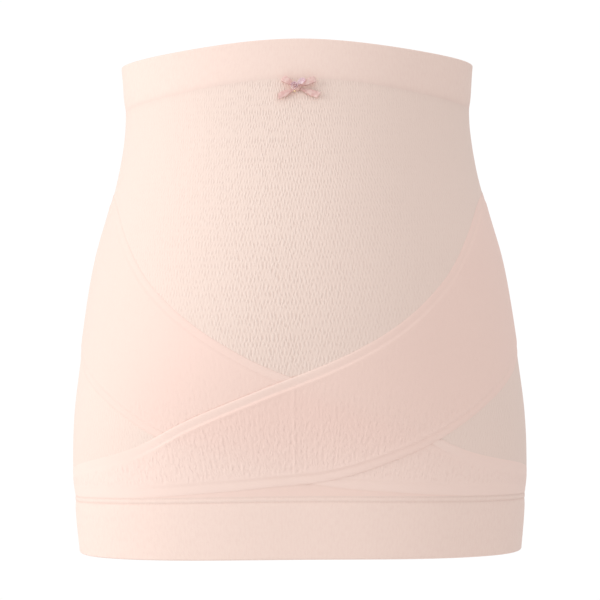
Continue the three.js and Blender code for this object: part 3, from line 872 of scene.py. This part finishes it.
class NodeNetwork:
    """Nodes of a material or of the surroundings. Each call adds a node and returns its output."""

    def __init__(self, owner):
        owner.use_nodes = True
        self.nodes = owner.node_tree.nodes
        self.links = owner.node_tree.links

    def put(self, socket, value):
        if isinstance(value, bpy.types.NodeSocket):
            self.links.new(value, socket)
        else:
            socket.default_value = value

    def math(self, operation, *values):
        node = self.nodes.new("ShaderNodeMath")
        node.operation = operation
        for i, value in enumerate(values):
            self.put(node.inputs[i], value)
        return node.outputs[0]

    def apart(self, vector):
        """The x, y and z of a vector."""
        node = self.nodes.new("ShaderNodeSeparateXYZ")
        self.links.new(vector, node.inputs[0])
        return node.outputs


class Shading(NodeNetwork):
    """Node network of one material round its shader."""

    def __init__(self, name, roughness, **sockets):
        self.material = bpy.data.materials.new(name)
        super().__init__(self.material)
        self.shader = self.nodes["Principled BSDF"]
        self.shader.inputs["Roughness"].default_value = roughness
        for socket, value in sockets.items():
            self.shader.inputs[socket.replace("_", " ")].default_value = value

    def rise(self, value, low, high, to_low=0.0, to_high=1.0):
        node = self.nodes.new("ShaderNodeMapRange")
        node.interpolation_type = "SMOOTHSTEP"
        for i, number in enumerate((value, low, high, to_low, to_high)):
            self.put(node.inputs[i], number)
        return node.outputs[0]

    def mix(self, share, low, high):
        node = self.nodes.new("ShaderNodeMix")
        node.data_type = "RGBA"
        for i, value in ((0, share), (6, low), (7, high)):
            self.put(node.inputs[i], value)
        return node.outputs[2]

    def mark(self, name):
        node = self.nodes.new("ShaderNodeAttribute")
        node.attribute_name = name
        return node.outputs["Fac"]

    def cloth(self):
        """Place round the cloth and height on it, in metres."""
        node = self.nodes.new("ShaderNodeUVMap")
        node.uv_map = "cloth"
        return self.apart(node.outputs[0])[:2]

    def point(self):
        return self.nodes.new("ShaderNodeTexCoord").outputs["Object"]

    def join(self, x, y):
        node = self.nodes.new("ShaderNodeCombineXYZ")
        for i, value in enumerate((x, y)):
            self.put(node.inputs[i], value)
        return node.outputs[0]

    def noise(self, vector, scale, detail):
        node = self.nodes.new("ShaderNodeTexNoise")
        self.put(node.inputs["Vector"], vector)
        node.inputs["Scale"].default_value = scale
        node.inputs["Detail"].default_value = detail
        return node.outputs[0]

    def stretched_noise(self, across, along, x, y, detail=2.0):
        """Noise whose cells are so wide and so long on the cloth."""
        vector = self.join(self.math("DIVIDE", x, across), self.math("DIVIDE", y, along))
        return self.noise(vector, 1.0, detail)

    def wave(self, value, pitch):
        """Cosine wave from -1 to 1 with that pitch."""
        return self.math("COSINE", self.math("MULTIPLY", value, 2 * math.pi / pitch))

    def bump(self, height, distance):
        node = self.nodes.new("ShaderNodeBump")
        node.inputs["Distance"].default_value = distance
        node.inputs["Strength"].default_value = 1.0
        self.links.new(height, node.inputs["Height"])
        return node.outputs[0]

    def tone(self, mark, share, color, other):
        """The colour, turned towards another by a share where the mark is 1."""
        return self.mix(self.math("MULTIPLY", self.mark(mark), share), color, other)

    def finish(self, color, normal=None):
        self.put(self.shader.inputs["Base Color"], color)
        if normal is not None:
            self.links.new(normal, self.shader.inputs["Normal"])
        return self.material


def rgb(red, green, blue):
    """Linear colour from red, green and blue out of 255 as they are seen."""
    parts = [value / 255 for value in (red, green, blue)]
    return (*[p / 12.92 if p <= 0.04045 else ((p + 0.055) / 1.055) ** 2.4 for p in parts], 1.0)


TUBE_PINK = rgb(242, 219, 208)
HIGHLIGHT_PINK = rgb(250, 231, 221)
TUBE_SHADE = rgb(218, 190, 178)
FOLDED_PINK = rgb(247, 222, 211)
FOLDED_SHADE = rgb(236, 205, 195)
BAND_PINK = rgb(248, 218, 207)
BAND_SHADE = rgb(232, 197, 186)
PAINTED_LIGHT_PINK = rgb(252, 229, 219)
LAYERED_PINK = rgb(247, 213, 202)
DUSTY_ROSE = rgb(224, 178, 172)
DUSTY_ROSE_LIGHT = rgb(240, 206, 198)
LILAC = rgb(244, 218, 222)
LILAC_SHADE = rgb(218, 176, 186)
GILT = rgb(240, 212, 176)
GILT_SHADE = rgb(214, 176, 142)
THREAD_PINK = rgb(248, 225, 214)
SEAM_SHADE = rgb(230, 204, 194)

COTTON = {"Sheen_Weight": 0.12, "Sheen_Roughness": 0.5, "Specular_IOR_Level": 0.2}

SLIT_PITCH = 2.5 * MM
SLIT_HEIGHT = 5 * MM
SLIT_SWAY = 1.3 * MM
SLIT_SHIFT = 3 * MM
SLIT_SHADE = 0.42
STRAND_HIGHLIGHT = 0.5
DOUBLED_TONE = 0.9
TUBE_SEAM_SHADE_TONE = 0.25
SLIT_BUMP = 0.15 * MM


def openwork_material():
    """Stretch openwork: upright slits in offset rows with painted shade, and painted highlights on the
    swaying threads between.
    """
    knit = Shading("openwork_knit", 0.92, **COTTON)
    x, y = knit.cloth()
    sway = knit.math("SUBTRACT", knit.stretched_noise(3.2 * MM, 4.5 * MM, x, y), 0.5)
    swayed = knit.math("ADD", x, knit.math("MULTIPLY", sway, 2 * SLIT_SWAY))
    shift = knit.math("SUBTRACT", knit.stretched_noise(3.4 * MM, 7 * MM, x, y), 0.5)
    shifted = knit.math("ADD", y, knit.math("MULTIPLY", shift, 4 * SLIT_SHIFT))
    weave = knit.math("MULTIPLY", knit.wave(swayed, SLIT_PITCH), knit.wave(shifted, 2 * SLIT_HEIGHT))
    patches = knit.rise(knit.stretched_noise(6 * MM, 7 * MM, x, y), 0.3, 0.6, 0.45, 1.0)
    strength = knit.math("MULTIPLY", patches, knit.mark("open"))
    slits = knit.math("MULTIPLY", knit.rise(weave, 0.2, 0.9), strength)
    strand_highlights = knit.math("MULTIPLY", knit.rise(weave, -0.2, -0.9), strength)
    fuzz = knit.stretched_noise(0.9 * MM, 2.6 * MM, x, y, 3.0)
    height = knit.math("SUBTRACT", knit.math("MULTIPLY", fuzz, 0.7), knit.math("MULTIPLY", weave, strength))
    # Painted shade in the slits, then painted highlights on the threads between them
    color = knit.mix(knit.math("MULTIPLY", slits, SLIT_SHADE), TUBE_PINK, TUBE_SHADE)
    color = knit.mix(knit.math("MULTIPLY", strand_highlights, STRAND_HIGHLIGHT), color, HIGHLIGHT_PINK)
    color = knit.tone("doubled", DOUBLED_TONE, color, BAND_PINK)
    # Painted shade along the waist seam
    color = knit.tone("seam", TUBE_SEAM_SHADE_TONE, color, SEAM_SHADE)
    return knit.finish(color, knit.bump(height, SLIT_BUMP))


FOLDED_SEAM_SHADE_TONE = 0.4
FOLDED_BUMP = 0.12 * MM


def folded_material():
    """Doubled smooth knit with a very fine upright rib and painted shade along its seam lines."""
    knit = Shading("folded_knit", 0.9, **COTTON)
    x, y = knit.cloth()
    streaks = knit.stretched_noise(0.8 * MM, 9 * MM, x, y, 3.0)
    fuzz = knit.stretched_noise(1.1 * MM, 1.4 * MM, x, y, 2.0)
    height = knit.math("ADD", knit.math("MULTIPLY", streaks, 0.6), knit.math("MULTIPLY", fuzz, 0.6))
    shade = knit.rise(knit.stretched_noise(1.8 * MM, 4.5 * MM, x, y), 0.35, 0.75, 0.0, 0.22)
    color = knit.mix(shade, FOLDED_PINK, FOLDED_SHADE)
    # Painted shade along the waist seam and the hem's stitch rows
    color = knit.tone("seam", FOLDED_SEAM_SHADE_TONE, color, SEAM_SHADE)
    return knit.finish(color, knit.bump(height, FOLDED_BUMP))


RIB_WAVE = 4.0 * MM
RIB_SWAY = 1.5 * MM
DASH_WIDTH = 2.1 * MM
DASH_HEIGHT = 4.6 * MM
DASH_SHARE = 0.7
LAYERED_TONE = 0.45
LOW_PAINTED_LIGHT_TONE = 0.45
RIB_GROOVE_SHADE_TONE = 0.15
STRIP_HIGHLIGHT_TONE = 0.3
RIB_BUMP = 0.17 * MM
SATIN_GRAIN_SCALE = 2600
SATIN_BUMP = 0.05 * MM


def band_material():
    """Doubled knit with crinkled ribs, painted shade in their grooves, a painted highlight along its upper
    edge strips, painted light towards the hem and a tone where it lies on the other band.
    """
    knit = Shading("band_knit", 0.9, **COTTON)
    x, y = knit.cloth()
    sway = knit.math("SUBTRACT", knit.stretched_noise(3.0 * MM, 3.4 * MM, x, y), 0.5)
    swayed = knit.math("ADD", x, knit.math("MULTIPLY", sway, 4 * RIB_SWAY))
    dashes = knit.stretched_noise(DASH_WIDTH, DASH_HEIGHT, x, y, 1.0)
    dashes = knit.rise(dashes, 0.3, 0.7, -DASH_SHARE, DASH_SHARE)
    patches = knit.rise(knit.stretched_noise(3.5 * MM, 3.5 * MM, x, y), 0.3, 0.6, 0.3, 1.0)
    strength = knit.math("MULTIPLY", patches, knit.mark("crinkle"))
    waves = knit.math("MULTIPLY_ADD", knit.wave(swayed, RIB_WAVE), 1 - DASH_SHARE, dashes)
    ribs = knit.math("MULTIPLY", waves, strength)
    fuzz = knit.stretched_noise(0.9 * MM, 1.8 * MM, x, y, 3.0)
    height = knit.math("ADD", ribs, knit.math("MULTIPLY", fuzz, 0.4))
    body = knit.tone("layered", LAYERED_TONE, BAND_PINK, LAYERED_PINK)
    # Painted light, lighter towards the hem
    body = knit.tone("low", LOW_PAINTED_LIGHT_TONE, body, PAINTED_LIGHT_PINK)
    # Painted shade in the grooves between the ribs
    color = knit.mix(knit.rise(ribs, 0.1, -0.9, 0.0, RIB_GROOVE_SHADE_TONE), body, BAND_SHADE)
    # Painted highlight along the upper edge strips
    color = knit.tone("strip", STRIP_HIGHLIGHT_TONE, color, HIGHLIGHT_PINK)
    return knit.finish(color, knit.bump(height, RIB_BUMP))


def satin_material(name, color, light, patch_scale):
    """Satin ribbon with a fine grain and a soft change of colour."""
    satin = Shading(name, 0.38, Sheen_Weight=0.2, Sheen_Roughness=0.35, Specular_IOR_Level=0.5)
    point = satin.point()
    grain = satin.noise(point, SATIN_GRAIN_SCALE, 1.0)
    patches = satin.rise(satin.noise(point, patch_scale, 2.0), 0.35, 0.65)
    return satin.finish(satin.mix(patches, color, light), satin.bump(grain, SATIN_BUMP))


def gilt_material():
    gilt = Shading("bead_gilt", 0.28, Metallic=1.0)
    dulled = gilt.rise(gilt.noise(gilt.point(), 900, 2.0), 0.4, 0.7, 0.0, 0.35)
    return gilt.finish(gilt.mix(dulled, GILT, GILT_SHADE))


def thread_material():
    thread = Shading("seam_thread", 0.7, **COTTON)
    fibres = thread.noise(thread.point(), 3000, 2.0)
    color = thread.mix(thread.rise(fibres, 0.3, 0.7, 0.0, 0.3), THREAD_PINK, BAND_SHADE)
    return thread.finish(color, thread.bump(fibres, 0.04 * MM))


def floor_material():
    return Shading("floor_pale", 0.8).finish(rgb(233, 231, 230))


def dress(piece, material, node=None):
    """Gives a piece its material and fixes it to the frame, in place of its node."""
    piece.data.materials.append(material)
    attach(piece, "root")
    if node:
        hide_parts(node)


def make_belt():
    openwork, folded, band = openwork_material(), folded_material(), band_material()
    tube = cloth_ring("tube_body", tube_strip, tube_marks)
    waistband = cloth_ring("waistband", waistband_strip, waistband_marks)
    hem = cloth_ring("hem_band", hem_strip, hem_marks)
    under = support_band("cross_band_under", UNDER_BAND_EDGES, -1, SEEDS["under"], False)
    over = support_band("cross_band_over", OVER_BAND_EDGES, 1, SEEDS["over"], True)
    stitches = hem_stitching()
    dress(tube, openwork, "tube_body")
    dress(waistband, folded, "waistband")
    dress(hem, folded, "hem_band")
    dress(under, band, "cross_band_under")
    dress(over, band, "cross_band_over")
    dress(stitches, thread_material())
    return tube, waistband, hem, under, over, stitches


def make_bow():
    satin = satin_material("satin_ribbon", DUSTY_ROSE, DUSTY_ROSE_LIGHT, 300)
    rose = satin_material("rose_ribbon", LILAC, LILAC_SHADE, 700)
    for name, direction, reach in BOW_LOOPS:
        dress(bow_loop(name, direction, reach), satin, name)
    for name, direction, reach in BOW_TAILS:
        dress(bow_tail(name, direction, reach), satin, name)
    dress(bow_knot(), satin, "bow_knot")
    dress(bow_rosette(), rose, "bow_rosette")
    dress(bow_petal(), rose, "bow_petal")
    dress(bow_bead(), gilt_material(), "bow_bead")


FLOOR_Z = -1.1
FLOOR_RADIUS = 8.0
FLOOR_SIDES = 96
WHITE = (1.0, 1.0, 1.0, 1.0)


def make_floor():
    turn = 2 * math.pi * np.arange(FLOOR_SIDES) / FLOOR_SIDES
    rim = [FLOOR_RADIUS * np.cos(turn), FLOOR_RADIUS * np.sin(turn), np.full(FLOOR_SIDES, FLOOR_Z)]
    floor = finish_mesh("floor", np.stack(rim, -1), [list(range(FLOOR_SIDES))])
    floor.data.materials.append(floor_material())
    floor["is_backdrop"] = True


def make_light(name, place, size, energy, color):
    """Square light that faces the middle of the belt."""
    lamp = bpy.data.lights.new(name, "AREA")
    lamp.shape, lamp.size, lamp.energy, lamp.color = "SQUARE", size, energy, color
    light = bpy.data.objects.new(name, lamp)
    light.location = place
    facing = Vector((0, 0, CAMERA_PLACE[2])) - Vector(place)
    light.rotation_euler = facing.to_track_quat("-Z", "Y").to_euler()
    light.visible_camera = False
    bpy.context.scene.collection.objects.link(light)


# Light of the surroundings from straight below and straight above
SKY_LIGHT = (0.75, 1.01)
SKY_SIDE_DARKENING = 0.4
BACKDROP_LIGHT = 1.02
KEY_DIRECTION = -69
KEY_DISTANCE = 3.2
KEY_HEIGHT = 0.95
KEY_SIZE = 1.6
KEY_ENERGY = 47
KEY_COLOR = (0.955, 1.0, 1.0)


def make_surroundings():
    """Soft light from all round, most from above and least from the sides, that shows as white."""
    world = bpy.data.worlds.new("studio")
    network = NodeNetwork(world)
    sky = network.nodes["Background"]
    sky.inputs["Color"].default_value = WHITE
    below, above = SKY_LIGHT
    direction = network.nodes.new("ShaderNodeTexCoord").outputs["Generated"]
    x, _, z = network.apart(direction)
    lit = network.math("MULTIPLY_ADD", z, (above - below) / 2, (above + below) / 2)
    darker = network.math("MULTIPLY_ADD", network.math("POWER", x, 2), -SKY_SIDE_DARKENING, 1)
    glow = network.math("MULTIPLY", lit, darker)
    seen = network.nodes.new("ShaderNodeLightPath").outputs["Is Camera Ray"]
    past_glow = network.math("SUBTRACT", BACKDROP_LIGHT, glow)
    network.put(sky.inputs["Strength"], network.math("MULTIPLY_ADD", seen, past_glow, glow))
    bpy.context.scene.world = world


def make_camera():
    lens = bpy.data.cameras.new("camera")
    lens.lens, lens.sensor_width = CAMERA_LENS_MM, 36
    lens.clip_start, lens.clip_end = 0.1, 60
    camera = bpy.data.objects.new("camera", lens)
    level = Matrix.Rotation(math.radians(90), 4, "X") @ Matrix.Rotation(CAMERA_ROLL, 4, "Z")
    camera.matrix_world = Matrix.Translation(CAMERA_PLACE) @ level
    bpy.context.scene.collection.objects.link(camera)
    bpy.context.scene.camera = camera


def make_studio():
    make_camera()
    make_surroundings()
    make_floor()
    turn = math.radians(KEY_DIRECTION)
    place = (KEY_DISTANCE * math.sin(turn), -KEY_DISTANCE * math.cos(turn), KEY_HEIGHT)
    make_light("key", place, KEY_SIZE, KEY_ENERGY, KEY_COLOR)
    view = bpy.context.scene.view_settings
    view.view_transform, view.look = "Standard", "None"


make_studio()
belt = make_belt()
make_bow()

boxes = {"cad": [list(corner) for corner in CAD_BOX], "visual": [list(corner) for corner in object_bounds()]}
